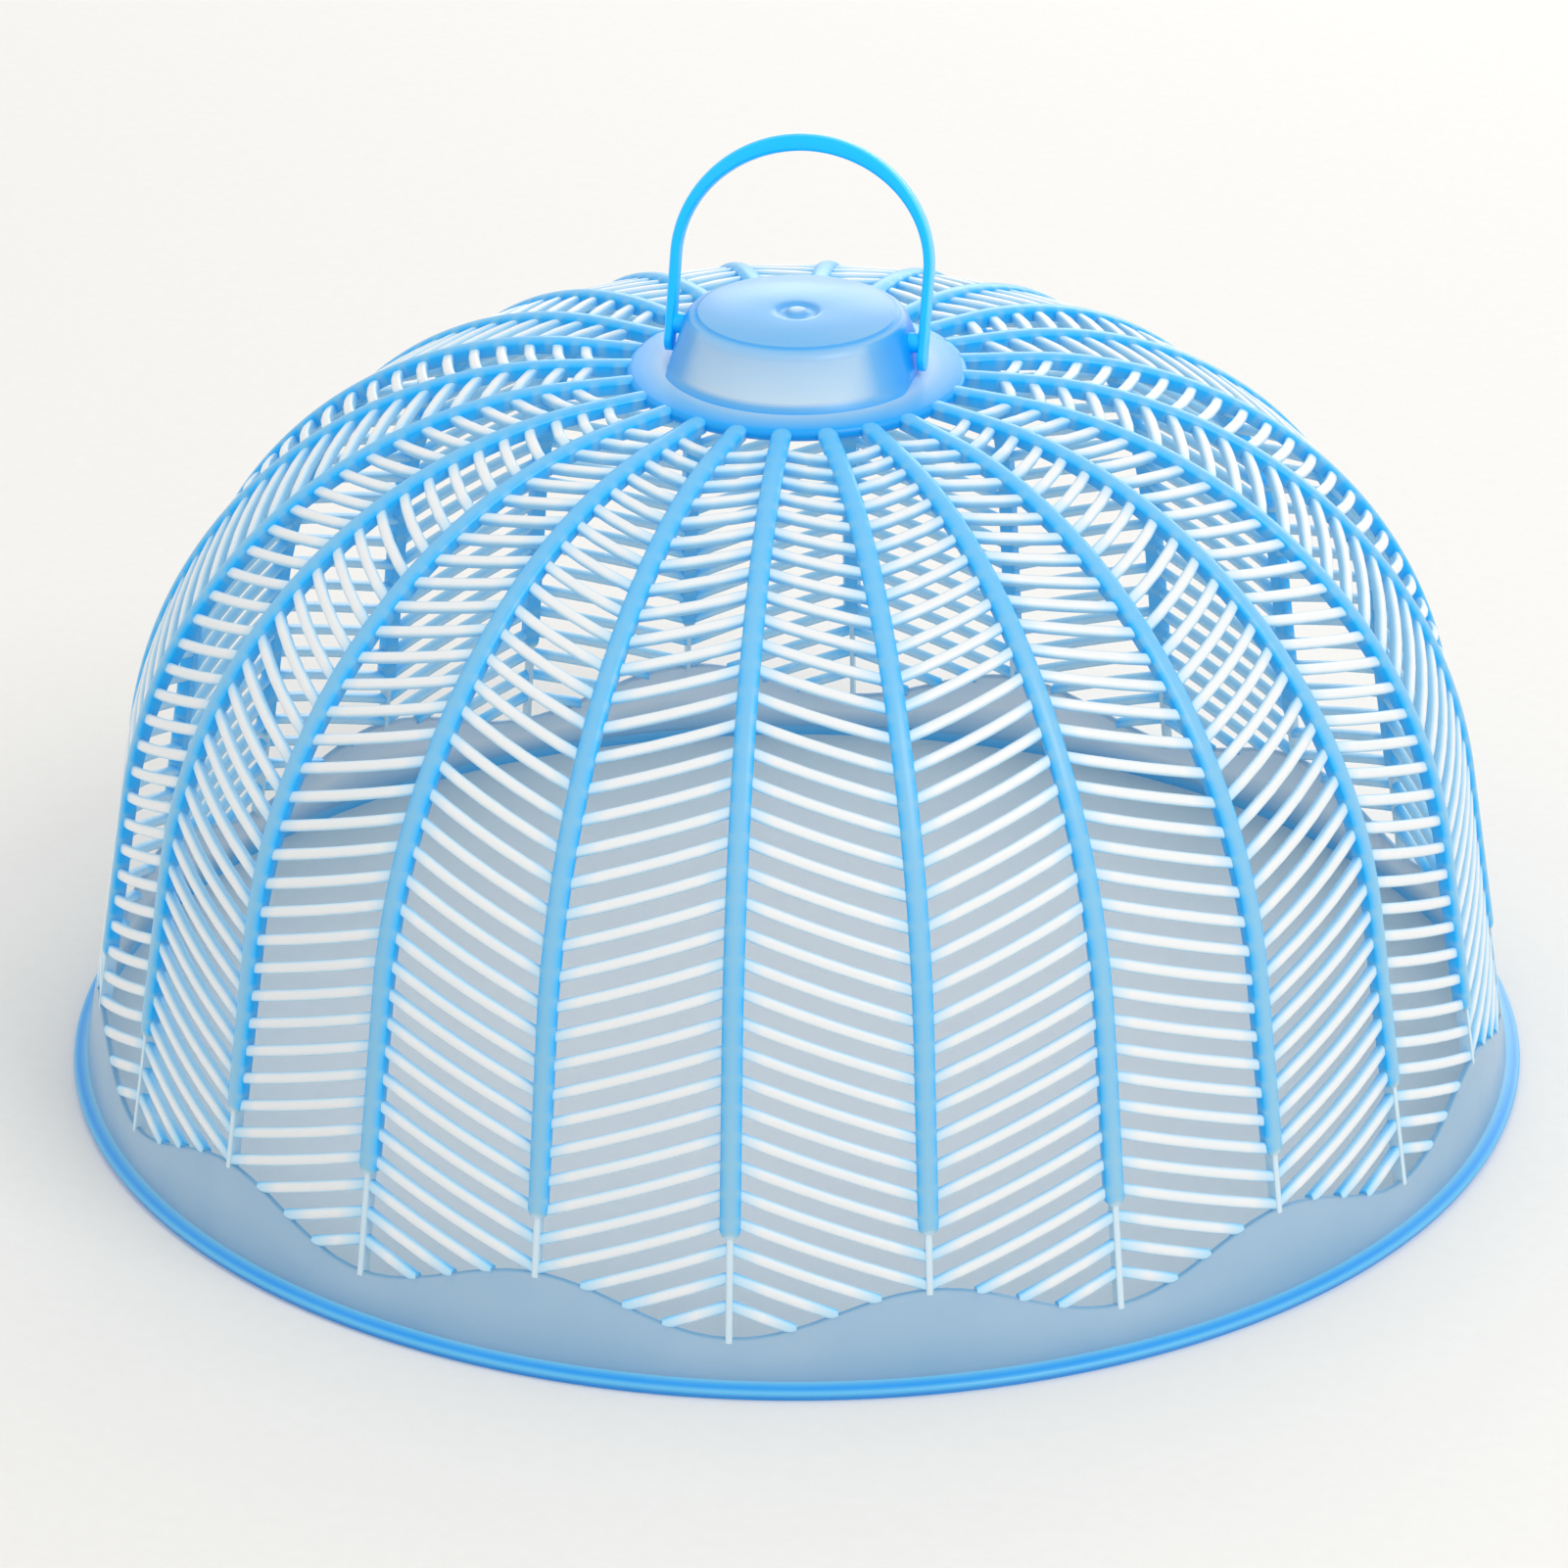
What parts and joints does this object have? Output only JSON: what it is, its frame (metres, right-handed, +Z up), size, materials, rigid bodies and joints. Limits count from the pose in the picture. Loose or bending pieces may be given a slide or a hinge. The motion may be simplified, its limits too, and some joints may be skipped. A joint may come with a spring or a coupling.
{
  "type": "food cover",
  "caption": "Round vented food cover: a dome of herringbone slats between ribs on a scalloped rim band, with a hollow crown hub and a swinging bail handle.",
  "frame": {"origin": "middle of the lip's flat underside, on the surface that the cover stands on", "axes": "+Z up through the crown, +X along the bail's pivot axis"},
  "size_m": [0.3, 0.3, 0.1939],
  "materials": {
    "lip_plastic": "smooth translucent moulding, deeper where it is thick",
    "band_plastic": "smooth translucent moulding",
    "slat_plastic": "smooth translucent moulding",
    "rib_plastic": "smooth translucent moulding, deeper where it is thick",
    "ring_plastic": "smooth translucent moulding, deeper where it is thick",
    "hub_plastic": "smooth translucent moulding",
    "bail_plastic": "smooth translucent moulding, deeper where it is thick"
  },
  "bodies": {
    "cover": {"rim_lip": "lip_plastic", "rim_band": "band_plastic", "petal_01": "slat_plastic", "divider_rib_01": "rib_plastic", "petal_02": "slat_plastic", "divider_rib_02": "rib_plastic", "petal_03": "slat_plastic", "divider_rib_03": "rib_plastic", "petal_04": "slat_plastic", "divider_rib_04": "rib_plastic", "petal_05": "slat_plastic", "divider_rib_05": "rib_plastic", "petal_06": "slat_plastic", "divider_rib_06": "rib_plastic", "petal_07": "slat_plastic", "divider_rib_07": "rib_plastic", "petal_08": "slat_plastic", "divider_rib_08": "rib_plastic", "petal_09": "slat_plastic", "divider_rib_09": "rib_plastic", "petal_10": "slat_plastic", "divider_rib_10": "rib_plastic", "petal_11": "slat_plastic", "divider_rib_11": "rib_plastic", "petal_12": "slat_plastic", "divider_rib_12": "rib_plastic", "crown_ring": "ring_plastic", "crown_hub": "hub_plastic"},
    "bail": {"bail_handle": "bail_plastic"}
  },
  "joints": [
    {"name": "bail_hinge", "type": "hinge", "parent": "cover", "child": "bail", "pos_m": [0, 0, 0.1563], "axis": [1, 0, 0], "range_deg": [-74, 114]}
  ]
}
